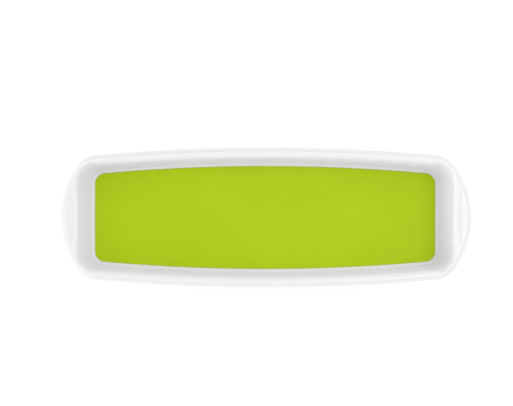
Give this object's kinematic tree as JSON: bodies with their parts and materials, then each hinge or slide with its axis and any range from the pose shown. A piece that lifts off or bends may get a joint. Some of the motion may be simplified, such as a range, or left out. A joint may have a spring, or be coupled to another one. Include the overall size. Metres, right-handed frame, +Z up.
{
  "type": "desk storage box",
  "caption": "Long, shallow open desk tray with bowed sides, a dished handle at each end, a coloured floor panel and soft feet.",
  "frame": {"origin": "on the table, under the middle of the tray", "axes": "+X along the tray towards the right-hand handle, +Y across the tray, +Z up out of the open mouth"},
  "size_m": [0.307, 0.104, 0.055],
  "materials": {
    "tray_white": "glossy white moulded plastic with a faint orange peel",
    "panel_green": "satin lime green moulded plastic",
    "foot_rubber": "matt pale translucent rubber"
  },
  "bodies": {
    "root": {"outer_tray": "tray_white", "floor_insert": "panel_green", "foot_front_left": "foot_rubber", "foot_front_right": "foot_rubber", "foot_rear_left": "foot_rubber", "foot_rear_right": "foot_rubber"}
  },
  "joints": []
}
